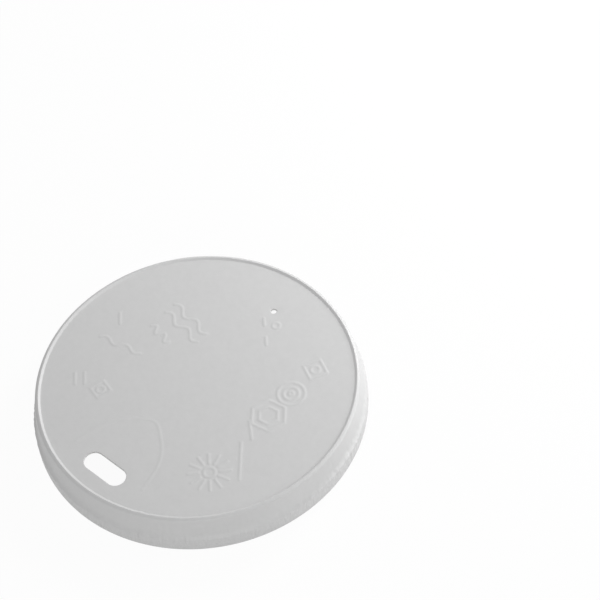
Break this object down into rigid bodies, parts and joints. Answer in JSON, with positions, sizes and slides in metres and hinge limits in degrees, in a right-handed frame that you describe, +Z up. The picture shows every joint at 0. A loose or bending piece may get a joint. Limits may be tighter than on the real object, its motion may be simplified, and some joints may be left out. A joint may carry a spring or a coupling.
{
  "type": "coffee cup lid",
  "caption": "Flat round lid pressed from paperboard, with a raised rim, a skirt with a hem folded inward, a sip slot and a small vent hole.",
  "frame": {"origin": "centre of the circle on which the folded foot of the skirt rests", "axes": "+Z up the lid's axis through the panel, the sip slot lies towards -Y and the vent hole towards +Y"},
  "size_m": [0.0842, 0.0842, 0.0108],
  "materials": {
    "paperboard": "matte white pressed paperboard with fine fibres and faint pleats on the skirt"
  },
  "bodies": {
    "root": {"cup_lid": "paperboard"}
  },
  "joints": []
}
